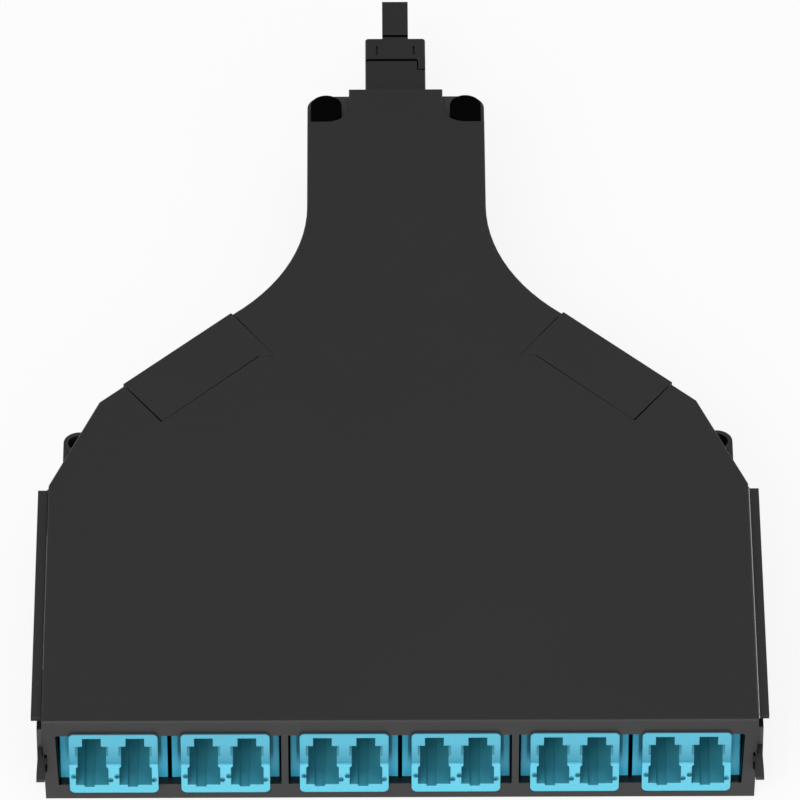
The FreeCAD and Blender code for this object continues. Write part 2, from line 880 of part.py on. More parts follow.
def rounded_path(corners, radius):
    """Straight runs joined by arcs that they touch without a corner."""
    edges = []
    begin = corners[0]
    for index in range(1, len(corners) - 1):
        into = (corners[index] - corners[index - 1]).normalize()
        out = (corners[index + 1] - corners[index]).normalize()
        turn = math.acos(max(-1.0, min(1.0, into.dot(out))))
        if turn < 0.01:
            continue
        setback = radius * math.tan(turn / 2)
        first = corners[index] - into * setback
        last = corners[index] + out * setback
        halfway = (out - into).normalize()
        bulge = radius / math.cos(turn / 2) - radius
        edges.append(Part.LineSegment(begin, first).toShape())
        edges.append(Part.Arc(first, corners[index] + halfway * bulge, last).toShape())
        begin = last
    edges.append(Part.LineSegment(begin, corners[-1]).toShape())
    return Part.Wire(edges)


def tube(path, radius):
    """A round solid along a path of straight runs and arcs."""
    runs = []
    for edge in path.Edges:
        start = edge.valueAt(edge.FirstParameter)
        way = edge.tangentAt(edge.FirstParameter)
        if isinstance(edge.Curve, Part.Circle):
            section = Part.Face(Part.Wire(Part.makeCircle(radius, start, way)))
            turn = math.degrees(edge.LastParameter - edge.FirstParameter)
            runs.append(section.revolve(edge.Curve.Center, edge.Curve.Axis, turn))
        else:
            runs.append(Part.makeCylinder(radius, edge.Length, start, way))
    return runs[0].fuse(runs[1:]).removeSplitter()


def make_fanout():
    """Twelve fibres from the plugs' boots to the fan-out block, none crossing another."""
    start = (plug_front() + cell("plug_length") + cell("boot_length")).value
    lead = cell("fibre_lead").value
    end = cell("fanout_y").value
    height = cell("ferrule_axis").value
    fibres = []
    for index, across in enumerate(ferrule_centres()):
        slot = (index - 5.5) * cell("fanout_pitch").value
        corners = [
            FreeCAD.Vector(across.value, start, height),
            FreeCAD.Vector(across.value, start + lead, height),
            FreeCAD.Vector(slot, end - lead, height),
            FreeCAD.Vector(slot, end, height),
        ]
        fibres.append(tube(rounded_path(corners, cell("fibre_bend").value), cell("fibre_radius").value))
    feature = doc.addObject("Part::Feature", "fibre_fanout")
    feature.Label = "fibre_fanout"
    feature.Shape = Part.makeCompound(fibres)
    bind(feature, "Placement.Base.y", front_y)
    return feature


def make_fanout_block():
    body = start_body("fanout_block")
    half = cell("fanout_width") / 2
    front = cell("fanout_y")
    rear = front + cell("fanout_length")
    plan = [(half, front), (half, rear - 4), (half - 3, rear), (-half + 3, rear), (-half, rear - 4), (-half, front)]
    pad(body, draw(body, "XY", plan, wall), cell("mpo_axis") + cell("ribbon_radius") + 1 - wall)
    return body


def ribbon_start():
    return cell("fanout_y") + cell("fanout_length")


def mpo_plug_start():
    return rear_y - wall - cell("mpo_web") - cell("mpo_plug_length")


def make_ribbon():
    ribbon = rod(cell("ribbon_radius"), mpo_plug_start() - ribbon_start(), 0, ribbon_start(), cell("mpo_axis"))
    ribbon.Label = "ribbon_fibre"
    return ribbon


# Multi-fibre adapter with its plug and cap


def mpo_cavity_half():
    return cell("mpo_width") / 2 - cell("mpo_wall")


def make_mpo_adapter():
    body = start_body("mpo_adapter")
    half = cell("mpo_width") / 2
    low = cell("mpo_axis") - cell("mpo_height") / 2
    high = cell("mpo_axis") + cell("mpo_height") / 2
    start = rear_y - cell("mpo_inside")
    outer = rectangle(-half, half, low, high)
    sleeve = pad(body, draw(body, "XZ", outer, start), mpo_outer_y - start)
    dress(body, "Fillet", sleeve, lambda middle, way: abs(way.y) > 5, 0.5)
    collar_y = rear_y - wall - cell("mpo_collar_thickness")
    collar = cell("mpo_collar")
    ring = rectangle(-half - collar, half + collar, low - collar, high + collar)
    pad(body, draw(body, "XZ", ring, collar_y), cell("mpo_collar_thickness"))
    cavity_half = mpo_cavity_half()
    edge = cell("mpo_wall")
    cavity = rectangle(-cavity_half, cavity_half, low + edge, high - edge)
    web_y = rear_y - wall
    pocket(body, draw(body, "XZ", cavity, start - 1), web_y - cell("mpo_web") - start + 1)
    pocket(body, draw(body, "XZ", cavity, web_y), mpo_outer_y - web_y + 1)
    tunnel_x = cell("mpo_ferrule_width") / 2 + 0.1
    tunnel_z = cell("mpo_ferrule_height") / 2 + 0.1
    tunnel = rectangle(-tunnel_x, tunnel_x, cell("mpo_axis") - tunnel_z, cell("mpo_axis") + tunnel_z)
    pocket(body, draw(body, "XZ", tunnel, web_y - cell("mpo_web") - 1), cell("mpo_web") + 2)
    key_y = mpo_outer_y - cell("cap_key_length")
    keyway = rectangle(half - cell("cap_key_width"), half + 1, key_y, mpo_outer_y + 1)
    pocket(body, draw(body, "XY", keyway, high - cell("mpo_wall")), cell("mpo_wall") + 1)
    return body


def make_mpo_plug():
    body = start_body("inner_mpo_plug")
    half = mpo_cavity_half() - cell("mpo_plug_play")
    tall = cell("mpo_height") / 2 - cell("mpo_wall") - cell("mpo_plug_play")
    axis = cell("mpo_axis")
    shell = pad(body, draw(body, "XZ", rectangle(-half, half, axis - tall, axis + tall), mpo_plug_start()),
                cell("mpo_plug_length"))
    dress(body, "Fillet", shell, lambda middle, way: abs(way.y) > 5, 0.6)
    seat_x = cell("mpo_ferrule_width") / 2
    seat_z = cell("mpo_ferrule_height") / 2
    depth = cell("mpo_ferrule_length") / 2
    seat = rectangle(-seat_x, seat_x, axis - seat_z, axis + seat_z)
    end = mpo_plug_start() + cell("mpo_plug_length")
    pocket(body, draw(body, "XZ", seat, end - depth), depth + 1)
    return body


def mpo_ferrule_start():
    return mpo_plug_start() + cell("mpo_plug_length") - cell("mpo_ferrule_length") / 2


def pin_places():
    return [cell("guide_pin_pitch") * side for side in (-0.5, 0.5)]


def make_mpo_ferrule():
    body = start_body("mpo_ferrule")
    seat_x = cell("mpo_ferrule_width") / 2
    seat_z = cell("mpo_ferrule_height") / 2
    axis = cell("mpo_axis")
    seat = rectangle(-seat_x, seat_x, axis - seat_z, axis + seat_z)
    pad(body, draw(body, "XZ", seat, mpo_ferrule_start()), cell("mpo_ferrule_length"))
    holes = [(across, axis) for across in pin_places()]
    pocket(body, draw_discs(body, "XZ", holes, cell("guide_pin_radius") + 0.02, mpo_ferrule_start() + 1),
           cell("mpo_ferrule_length"))
    return body


def make_guide_pins():
    pins = []
    for across in pin_places():
        pins.append(rod(cell("guide_pin_radius"), cell("guide_pin_length"), across, mpo_ferrule_start() + 1,
                        cell("mpo_axis")))
    return group("mpo_guide_pins", pins)


def make_cap():
    body = start_body("mpo_dust_cap")
    half = cell("mpo_width") / 2
    tall = cell("mpo_height") / 2
    axis = cell("mpo_axis")
    start = cap_start_y
    head = pad(body, draw(body, "XZ", rectangle(-half, half, axis - tall, axis + tall), start),
               cell("cap_length"))
    dress(body, "Fillet", head, lambda middle, way: abs(way.y) > 3, 0.5)
    half_in = mpo_cavity_half() - cell("cap_play")
    tall_in = tall - cell("mpo_wall") - cell("cap_play")
    plug_length = cell("cap_plug_length")
    stub = rectangle(-half_in, half_in, axis - tall_in, axis + tall_in)
    pad(body, draw(body, "XZ", stub, start - plug_length), plug_length + 0.5)
    hollow = rectangle(-half_in + 0.9, half_in - 0.9, axis - tall_in + 0.9, axis + tall_in - 0.9)
    pocket(body, draw(body, "XZ", hollow, start - plug_length - 1), plug_length + 3)
    grip_half = cell("cap_tab_width") / 2
    grip_z = cell("cap_tab_thickness")
    grip_top = axis + tall - 1.0
    grip = rectangle(-grip_half, grip_half, cap_end_y - 0.5, total_rear_y)
    pad(body, draw(body, "XY", grip, grip_top - grip_z), grip_z)
    dip = cell("cap_groove_depth")
    groove_y = cap_end_y + cell("cap_groove_start")
    groove = rectangle(-grip_half - 1, grip_half + 1, groove_y, groove_y + cell("cap_groove_length"))
    pocket(body, draw(body, "XY", groove, grip_top - dip), dip + 1)
    for side in (-0.5, 0.5):
        across = cell("cap_slot_spacing") * side
        slot_half = cell("cap_slot_width") / 2
        slot_y = start + cell("cap_slot_start")
        slot = rectangle(across - slot_half, across + slot_half, slot_y, slot_y + cell("cap_slot_length"))
        pocket(body, draw(body, "XY", slot, axis + tall - 0.5), 1)
    key_play = cell("cap_key_play")
    key_low = axis + tall - cell("mpo_wall") + cell("cap_play")
    key_x = half - cell("cap_key_width") + key_play
    key_y = mpo_outer_y - cell("cap_key_length") + key_play
    key = rectangle(key_x, half - 0.05, key_y, start + 0.5)
    pad(body, draw(body, "XY", key, key_low), axis + tall - 0.05 - key_low)
    return body


# Side latches


def make_latch(label, side):
    """A long strip beside the housing: rail above, finger tab in front, eye on its pivot behind."""
    body = start_body(label)
    strip = cell("latch_strip")
    low = cell("latch_bottom")
    height = cell("latch_top") - low
    pivot_x = half_width - cell("pivot_inset")
    pivot_y = cell("pivot_y")
    bore = cell("pivot_pin_radius") + cell("pivot_play")
    eye = bore + cell("eye_wall")
    rail_inner = half_width + cell("latch_gap")
    rail_outer = rail_inner + cell("rail_width")
    front_outer = rail_outer - cell("catch_depth")
    front_end = cell("front_plate") + 0.3
    tail_y = pivot_y - cell("tail_length")
    plan = [
        (half_width, front_end),
        (front_outer, front_end),
        (front_outer, cell("catch_y") - 0.8),
        (rail_outer, cell("catch_y")),
        (rail_outer, cell("rail_rear")),
        (pivot_x + eye, tail_y),
        (pivot_x + eye, pivot_y),
        (pivot_x + eye - strip, pivot_y),
        (pivot_x + eye - strip, tail_y - 0.2),
        (rail_outer - strip, cell("rail_rear") - 0.3),
        (rail_outer - strip, cell("catch_y") + 0.5),
        (half_width, cell("catch_y") - 0.3),
    ]
    pad(body, draw(body, "XY", on_side(plan, side), low), height)
    centre = [(pivot_x * side, pivot_y)]
    pad(body, draw_discs(body, "XY", centre, eye, low), height)
    pocket(body, draw_discs(body, "XY", centre, bore, low - 1), height + 2)
    rail_top = cover_bottom - cell("rail_cover_gap")
    rail_bottom = rail_top - cell("rail_thickness")
    riser = rectangle(rail_outer - strip, rail_outer, cell("catch_y") + 0.5, cell("rail_rear"))
    pad(body, draw(body, "XY", on_side(riser, side), cell("latch_top") - 0.2),
        rail_bottom - cell("latch_top") + 0.4)
    rail = rectangle(rail_inner, rail_outer, cell("rail_front"), cell("rail_rear"))
    pad(body, draw(body, "XY", on_side(rail, side), rail_bottom), cell("rail_thickness"))
    tab_end = -cell("tab_reach")
    tab_outer = front_outer - 0.05
    tab_inner = tab_outer - cell("tab_width")
    tab = [
        (half_width, front_end + 0.6),
        (half_width, -0.15),
        (half_width - cell("tab_step_width"), -0.3),
        (half_width - cell("tab_step_width"), -cell("tab_step")),
        (tab_inner, -cell("tab_step") - 0.3),
        (tab_inner, tab_end),
        (tab_outer, tab_end),
        (tab_outer, tab_end + 1.6),
        (front_outer - 0.15, 0.3),
        (front_outer, front_end + 0.6),
    ]
    tab_low = cell("tab_top") - cell("tab_height")
    pad(body, draw(body, "XY", on_side(tab, side), tab_low), cell("tab_height"))
    wedge = [
        (-0.4, tab_low - 1),
        (-0.4, tab_low),
        (tab_end, cell("tab_top") - cell("tab_tip_height")),
        (tab_end - 1, cell("tab_top") - cell("tab_tip_height")),
        (tab_end - 1, tab_low - 1),
    ]
    left_end = rail_outer + 1 if side < 0 else -(front_outer - 4)
    pocket(body, draw(body, "YZ", wedge, -left_end), 5)
    return body


# Shoulder clips and rear rivets


def make_clip(label, side):
    """A plate let into the cover with a skirt down the shoulder."""
    body = start_body(label)
    plate = on_side(clip_outline(0), side)
    pad(body, draw(body, "XY", plate, cover_bottom), cell("cover_thickness") - 0.02)
    near_x, near_y = shoulder_point(cell("clip_start"))
    far_x, far_y = shoulder_x, shoulder_y
    out = cell("clip_proud")
    inward = cell("clip_skirt")
    skirt = [
        (near_x - inward, near_y - inward),
        (near_x + out, near_y + out),
        (far_x + out, far_y + out),
        (far_x - inward, far_y - inward),
    ]
    low = wall + 0.1
    pad(body, draw(body, "XY", on_side(skirt, side), low), body_height - low - 0.02)
    lip = cell("clip_lip")
    edge_x = near_x - cell("clip_edge_x")
    edge_y = near_y - cell("clip_edge_y")
    hook = [
        (edge_x + lip * 4, edge_y + lip),
        (edge_x + lip * 4, edge_y + lip * 4),
        (edge_x - lip, edge_y + lip * 5),
        (edge_x - lip * 3, edge_y + lip * 4),
    ]
    thick = cell("clip_lip_thickness")
    pad(body, draw(body, "XY", on_side(hook, side), cover_bottom - thick), thick)
    return body


def make_rivets():
    """Dark rivets whose heads fill the cover's round cut-outs down to their front edge."""
    rivets = []
    radius = cell("rivet_head_radius")
    corner = cell("rivet_head_corner")
    middle_y = rivet_y + cell("rivet_head_rear")
    front = rivet_y - cell("cutout_radius") + cell("rivet_play") * 2
    for side in (-1, 1):
        body = start_body("Rivet")
        centre_x = cell("rivet_x")
        small = cell("rivet_outer_corner")
        plan = [
            (centre_x + radius - small, front, small),
            (centre_x + radius, front + small),
            (centre_x + radius, middle_y, radius),
            (centre_x, middle_y + radius, radius),
            (centre_x - radius, middle_y),
            (centre_x - radius, front + corner, corner),
            (centre_x - radius + corner, front),
        ]
        head = pad(body, draw(body, "XY", on_side(plan, side), cover_bottom), cell("cover_thickness"))

        def top_edge(middle, way):
            return close_to(middle.z, body_height)

        dress(body, "Chamfer", head, top_edge, cell("rivet_bevel"))
        places = [(centre_x * side, rivet_y)]
        length = cell("rivet_length")
        pad(body, draw_discs(body, "XY", places, cell("rivet_shank_radius"), cover_bottom - length), length + 0.1)
        rivets.append(body)
    return group("corner_rivets", rivets)


# Build and check
parts = [make_base(), make_cover()]
for number, centre in enumerate(adapter_centres(), start=1):
    parts.append(make_adapter(number, centre))
parts.append(make_sleeves())
parts.append(make_ferrules())
parts.append(make_plugs())
parts.append(make_fanout())
parts.append(make_fanout_block())
parts.append(make_ribbon())
parts.append(make_mpo_adapter())
parts.append(make_mpo_plug())
parts.append(make_mpo_ferrule())
parts.append(make_guide_pins())
parts.append(make_cap())
parts.append(make_latch("left_latch", -1))
parts.append(make_latch("right_latch", 1))
parts.append(make_clip("left_shoulder_clip", -1))
parts.append(make_clip("right_shoulder_clip", 1))
parts.append(make_rivets())
doc.recompute()

for thing in doc.Objects:
    if "Invalid" in thing.State or "Error" in thing.State:
        raise RuntimeError(f"{thing.Name} of {thing.Label} failed: {thing.State}")
for part in parts:
    if part.Shape.isNull() or not part.Shape.isValid():
        raise RuntimeError(f"{part.Label} has no valid shape")

os.makedirs("parts", exist_ok=True)
for part in parts:
    part.Shape.exportStep(f"parts/{part.Label}.step")
    box = part.Shape.BoundBox
    print(f"{part.Label}: {len(part.Shape.Solids)} solids, {part.Shape.Volume:.1f} mm3, "
          f"X {box.XMin:.2f} {box.XMax:.2f} Y {box.YMin:.2f} {box.YMax:.2f} Z {box.ZMin:.2f} {box.ZMax:.2f}")
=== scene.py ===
# %% [markdown]
# # A fibre cassette and its finishes
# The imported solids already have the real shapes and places, in metres, so nothing is fitted here. The
# work is in the surfaces: grained black housings, glossy coloured adapters, ceramic and steel, and a
# plain studio that shows them fairly from every side.

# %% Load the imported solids
import math

import bpy
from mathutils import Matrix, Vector


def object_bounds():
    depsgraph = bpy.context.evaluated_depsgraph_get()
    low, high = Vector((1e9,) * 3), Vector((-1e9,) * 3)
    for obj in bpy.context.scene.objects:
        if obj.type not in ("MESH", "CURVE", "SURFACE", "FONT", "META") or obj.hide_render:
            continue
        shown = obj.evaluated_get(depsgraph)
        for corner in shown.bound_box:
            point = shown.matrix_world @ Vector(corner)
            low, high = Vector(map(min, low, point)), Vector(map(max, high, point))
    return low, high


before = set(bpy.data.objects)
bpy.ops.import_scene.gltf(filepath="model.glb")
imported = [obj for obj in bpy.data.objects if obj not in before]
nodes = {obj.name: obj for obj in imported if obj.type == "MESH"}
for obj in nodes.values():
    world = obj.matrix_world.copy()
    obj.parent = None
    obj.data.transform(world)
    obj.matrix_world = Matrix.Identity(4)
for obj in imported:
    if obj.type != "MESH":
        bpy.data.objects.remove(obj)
cad_low, cad_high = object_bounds()
print("solids' box in mm:", [round(1000 * (high - low), 2) for low, high in zip(cad_low, cad_high)])

# %% [markdown]
# The camera stands well back with a long lens, because the photograph hardly narrows towards the rear.
# It looks down at 42 degrees and is turned by just under a third of a degree, which is why a sliver more
# of one side shows. It needs no shift for that: its axis passes through the middle of the picture.

# %% Camera
CAMERA_PLACE = (-0.00509, -1.1041, 0.99828)
CAMERA_ELEVATION = 42.0
CAMERA_TURN = -0.284
FOCAL_PIXELS = 9885
FRAME_PIXELS = 800
SENSOR_WIDTH = 36.0
FAR_END = 20

bpy.ops.object.camera_add(
    location=CAMERA_PLACE,
    rotation=(math.radians(90 - CAMERA_ELEVATION), 0, math.radians(CAMERA_TURN)),
)
camera = bpy.context.object
camera.data.sensor_width = SENSOR_WIDTH
camera.data.lens = FOCAL_PIXELS / FRAME_PIXELS * SENSOR_WIDTH
camera.data.clip_end = FAR_END
bpy.context.scene.camera = camera
bpy.context.scene.view_settings.view_transform = "Standard"
print("lens in mm:", round(camera.data.lens, 1))

# %% [markdown]
# Shader maths is easier to read as arithmetic than as a drawing of nodes. A Reading stands for one
# output socket, and adding or multiplying Readings puts the Math nodes in. A mask is a Reading that
# rises or falls between nought and one. Every other node comes from one method, which takes the node's
# kind, its settings and what goes into its sockets.

# %% Shader maths as expressions
MIX_FIRST = 6
MIX_SECOND = 7
MIX_RESULT = 2


class Reading:
    """One output socket that takes part in arithmetic."""

    def __init__(self, finish, socket):
        self.finish = finish
        self.socket = socket

    def maths(self, operation, first, second):
        return self.finish.node("ShaderNodeMath", {"operation": operation}, {0: first, 1: second})

    def __add__(self, other):
        return self.maths("ADD", self, other)

    def __sub__(self, other):
        return self.maths("SUBTRACT", self, other)

    def __rsub__(self, other):
        return self.maths("SUBTRACT", other, self)

    def __mul__(self, other):
        return self.maths("MULTIPLY", self, other)

    def __pow__(self, other):
        return self.maths("POWER", self, other)

    def at_least(self, other):
        return self.maths("MAXIMUM", self, other)

    def at_most(self, other):
        return self.maths("MINIMUM", self, other)

    def magnitude(self):
        return self.maths("ABSOLUTE", self, 0.0)

    def sign(self):
        return self.maths("SIGN", self, 0.0)

    def rounded(self):
        return self.maths("ROUND", self, 0.0)

    def rises(self, start, width):
        """Nought up to the start, one from a width further on."""
        return self.finish.ramp(self, start, start + width)

    def falls(self, start, width):
        """One up to the start, nought from a width further on."""
        return self.finish.ramp(self, start + width, start)


class Finish:
    """A material that is put together node by node."""

    def __init__(self, name):
        self.material = bpy.data.materials.new(name)
        self.material.use_nodes = True
        self.tree = self.material.node_tree
        self.tree.nodes.clear()

    def node(self, kind, settings=None, inputs=None, output=0):
        made = self.tree.nodes.new(kind)
        for name, setting in (settings or {}).items():
            setattr(made, name, setting)
        for name, value in (inputs or {}).items():
            if isinstance(value, Reading):
                self.tree.links.new(value.socket, made.inputs[name])
            else:
                made.inputs[name].default_value = value
        return Reading(self, made.outputs[output])

    def ramp(self, value, start, end):
        """Nought at the start and one at the end, and no further on either side."""
        inputs = {"Value": value, "From Min": start, "From Max": end}
        return self.node("ShaderNodeMapRange", {"clamp": True}, inputs, "Result")

    def blend(self, factor, first, second):
        inputs = {0: factor, MIX_FIRST: first, MIX_SECOND: second}
        return self.node("ShaderNodeMix", {"data_type": "RGBA"}, inputs, MIX_RESULT)

    def show(self, shader):
        outlet = self.tree.nodes.new("ShaderNodeOutputMaterial")
        self.tree.links.new(shader.socket, outlet.inputs["Surface"])


# %% [markdown]
# The floor is plain and pale. Rays from the camera and mirror-like rays see it mostly as white paper,
# and the rest of its shader is matt, so the cassette still leaves a soft shadow on it. All other light
# meets an ordinary pale surface, and so the floor lights the front face from below as a table would.

# %% Floor
FLOOR_GAP = 0.0001
FLOOR_SIZE = 6
FLOOR_TONE = 0.82
PAPER_SHARE = 0.86


def grey(value):
    return (value, value, value, 1.0)


WHITE = grey(1.0)


def paper_white(finish):
    """One where a ray comes from the camera, a mirror or glass."""
    path = "ShaderNodeLightPath"
    seen = finish.node(path, output="Is Camera Ray")
    mirrored = finish.node(path, output="Is Glossy Ray")
    through = finish.node(path, output="Is Transmission Ray")
    return (seen + mirrored + through).at_most(1.0)


bpy.ops.object.select_all(action="DESELECT")
bpy.ops.mesh.primitive_plane_add(size=FLOOR_SIZE, location=(0, 0, cad_low.z - FLOOR_GAP))
floor = bpy.context.object
floor.name = "floor"
floor_finish = Finish("pale_floor")
matt = floor_finish.node("ShaderNodeBsdfDiffuse", None, {"Color": grey(FLOOR_TONE)})
white = floor_finish.node("ShaderNodeEmission", None, {"Color": WHITE, "Strength": 1.0})
share = paper_white(floor_finish) * PAPER_SHARE
floor_finish.show(floor_finish.node("ShaderNodeMixShader", None, {0: share, 1: matt, 2: white}))
floor.data.materials.append(floor_finish.material)

# %% [markdown]
# Two large soft lamps stand in front, one high and one lower, and a weak one above. A matt black
# surface is mostly what it mirrors, so the room behind the cassette is kept dim: the top stays dark
# while the front face, which mirrors the pale floor, comes out lighter, as in the photograph.

# %% Lamps and room
ROOM_LIGHT = 0.42


def soft_lamp(name, place, size, power):
    """A square lamp that looks at the cassette's middle."""
    direction = Vector(place).to_track_quat("Z", "Y").to_euler()
    bpy.ops.object.light_add(type="AREA", location=place, rotation=direction)
    lamp = bpy.context.object
    lamp.name = name
    lamp.data.shape = "SQUARE"
    lamp.data.size = size
    lamp.data.energy = power


soft_lamp("front_key", place=(-0.45, -0.95, 0.75), size=0.8, power=10.0)
soft_lamp("front_fill", place=(0.6, -1.0, 0.35), size=0.8, power=5.0)
soft_lamp("top_soft", place=(0.1, 0.1, 1.2), size=1.0, power=4.0)

world = bpy.data.worlds.new("Room")
bpy.context.scene.world = world
world.use_nodes = True
world.node_tree.nodes.clear()


class Room(Finish):
    """The world's own nodes, made in the same way as a finish."""

    def __init__(self, tree):
        self.tree = tree


room = Room(world.node_tree)
dim = room.node("ShaderNodeBackground", None, {"Color": WHITE, "Strength": ROOM_LIGHT})
bright = room.node("ShaderNodeBackground", None, {"Color": WHITE, "Strength": 1.0})
straight = room.node("ShaderNodeLightPath", output="Is Camera Ray")
mixed = room.node("ShaderNodeMixShader", None, {0: straight, 1: dim, 2: bright})
outlet = world.node_tree.nodes.new("ShaderNodeOutputWorld")
world.node_tree.links.new(mixed.socket, outlet.inputs["Surface"])

# %% [markdown]
# The finishes paint light and shade that change from place to place on the part: a window's edge is
# painted darker than the face round it. So each finish reads where a painted place is, in metres, and a
# mask is worked out from that. The windows stand at one pitch, each holds two duplex adapters, and each
# adapter has two ports, so one rule serves all six adapters.

# %% Places on the part
TAB_REACH = 0.005
FACE = cad_low.y + TAB_REACH
WINDOW_PITCH = 0.0332
ADAPTER_OFFSET = 0.00805
PORT_OFFSET = 0.003125


class Place:
    """Where on the part a place with painted light or shade is."""

    def __init__(self, finish):
        self.finish = finish
        self.vector = finish.node("ShaderNodeTexCoord", output="Object")

    def along(self, axis):
        return self.finish.node("ShaderNodeSeparateXYZ", None, {"Vector": self.vector}, axis)

    def to_right(self):
        return self.along("X")

    def aside(self):
        return self.to_right().magnitude()

    def height(self):
        return self.along("Z")

    def behind_face(self):
        return self.along("Y") - FACE

    def across_adapter(self):
        """How far to the right it is of the middle of the nearest duplex adapter."""
        across = self.to_right()
        in_window = across - (across * (1 / WINDOW_PITCH)).rounded() * WINDOW_PITCH
        return in_window - in_window.sign() * ADAPTER_OFFSET

    def from_adapter(self):
        return self.across_adapter().magnitude()

    def across_port(self):
        """How far to the right it is of the middle of the nearest port."""
        across = self.across_adapter()
        return across - across.sign() * PORT_OFFSET


# %% [markdown]
# Moulded plastic has three things in common, whatever its colour. The tool's fine grain breaks up its
# gloss, the colour drifts a little from one place to the next, and its edges are never quite sharp:
# they catch light and get rubbed. The Bevel node gives that rounding without touching the solids, and
# where its normal leaves the flat one there is an edge to lighten. Painted light and painted shade each
# come as a mask with a tint of its own. A black-shade mask paints black without a dielectric's mirror,
# as painted shade for clefts and strips where hardly any light comes back out.

# %% Moulded plastic
BEVEL_SAMPLES = 6
DRIFT_SCALE = 45.0
DRIFT_SHARE = 0.55
SCUFF_SCALE = 900.0
SCUFF_LEAST = 0.35
SCUFF_RANGE = 0.9
GRAIN_ROUGHENS = 0.16
DRIFT_ROUGHENS = 0.1


def noise(finish, vector, scale, detail=2.0, roughness=0.5):
    inputs = {"Vector": vector, "Scale": scale, "Detail": detail, "Roughness": roughness}
    return finish.node("ShaderNodeTexNoise", {"noise_dimensions": "3D"}, inputs, "Fac")


def edge_mask(finish, rounded, strength):
    """Nought on flat places, up to one on an edge."""
    flat = finish.node("ShaderNodeNewGeometry", output="Normal")
    inputs = {0: rounded, 1: flat}
    agreement = finish.node("ShaderNodeVectorMath", {"operation": "DOT_PRODUCT"}, inputs, "Value")
    return ((1.0 - agreement) * strength).at_least(0.0).at_most(1.0)


def moulded(
    name, dark, light, worn, roughness, grain, depth, radius,
    rub=3.0, gloss=0.5, painted_light_and_shade=(), painted_black_shade=(),
):
    """Plastic from a grained tool. Grain is the size of its spots and depth their height, in metres."""
    finish = Finish(name)
    place = Place(finish)
    rounded = finish.node("ShaderNodeBevel", {"samples": BEVEL_SAMPLES}, {"Radius": radius})
    spots = noise(finish, place.vector, 1 / grain, detail=3.0, roughness=0.6)
    drift = noise(finish, place.vector, DRIFT_SCALE, detail=3.0)
    scuffs = noise(finish, place.vector, SCUFF_SCALE, detail=4.0, roughness=0.7)
    edges = edge_mask(finish, rounded, rub) * (scuffs * SCUFF_RANGE + SCUFF_LEAST)
    tone = (drift * DRIFT_SHARE + spots * (1 - DRIFT_SHARE)).at_least(0.0).at_most(1.0)
    colour = finish.blend(edges.at_most(1.0), finish.blend(tone, dark, light), worn)
    # Each painted light or painted shade mask lays its own tint over the colour.
    for mask, tint in painted_light_and_shade:
        colour = finish.blend(mask(place), colour, tint)
    # Painted shade: black-shade masks paint black and switch off the dielectric mirror through Metallic.
    black_shade_share = 0.0
    for mask in painted_black_shade:
        black_shade_share = mask(place) + black_shade_share
    if painted_black_shade:
        colour = finish.blend(black_shade_share.at_most(1.0), colour, grey(0.0))
    relief = {"Strength": 1.0, "Distance": depth, "Height": spots, "Normal": rounded}
    surface = {
        "Base Color": colour,
        "Metallic": black_shade_share,
        "Roughness": (spots - 0.5) * GRAIN_ROUGHENS + (drift - 0.5) * DRIFT_ROUGHENS + roughness,
        "Specular IOR Level": gloss,
        "Normal": finish.node("ShaderNodeBump", None, relief),
    }
    finish.show(finish.node("ShaderNodeBsdfPrincipled", None, surface))
    return finish.material


# %% [markdown]
# The housing is one black plastic in a few states. The cover and its clips have the matt grain of a
# sparked tool, the face and walls are a little finer, and the latches are smoother because they slide
# in a tray. The cover's front lip is painted lighter than its top, to the face's tone on the shell, as
# a lit face, and the latches' front ends are painted to that tone too, their finger tabs a little
# lighter than the rest. The windows' thickness and a band under each bezel are painted dark as shade,
# and the cap's narrow clefts and the outer windows' rims are painted black as shade. A pale line
# painted along the right rail's inner edge stands for the ground seen through the latch's gap.

# %% Masks on the black pieces
CRISP = 0.00004
SOFT = 0.0001
WIDE = 0.0002
WINDOW_HALF = 0.0496
WINDOW_SILL = 0.0011
WINDOW_SILL_RISE = 0.0005
WINDOW_BOTTOM = 0.0027
WINDOW_TOP = 0.0123
WINDOW_EDGE_LOW = 0.04905
WINDOW_DRAFT = 0.036
WINDOW_RIM = 0.00017
PLATE_BACK = 0.0016
BEZEL_HALF = 0.0064
BEZEL_BOTTOM = 0.0014
BEZEL_SHADOW = 0.0005
BEZEL_SHADOW_END = 0.0004
LATCH_END = 0.0021
TAB_TOP = 0.0086
RAIL_INNER = 0.0516
RAIL_BOTTOM = 0.013
PAINTED_SEAM_WIDTH = 0.00012
MIDDLE_FADE = 0.001
CAP_SEAM = 0.15205
CAP_CLEFT = 0.15906
CAP_KEY_SIDE = 0.00333
CAP_KEY_END = 0.14985
CLEFT_HALF = 0.00028
KEY_CLEFT_HALF = 0.00016
CLEFT_DARKNESS = 0.85


# Painted light: the cover's front lip is painted lighter than its top, to the lit face's tone.
def painted_lit_front_lip(place):
    return place.behind_face().falls(SOFT, 3 * SOFT)


# Painted shade: the windows' thickness behind the face is painted nearly black.
def painted_window_edge_shade(place):
    inside = place.aside().falls(WINDOW_HALF, WIDE)
    above_sill = place.height().rises(WINDOW_SILL, WINDOW_SILL_RISE)
    behind = place.behind_face().rises(SOFT, WIDE)
    before = place.behind_face().falls(PLATE_BACK, WIDE)
    return inside * above_sill * behind * before


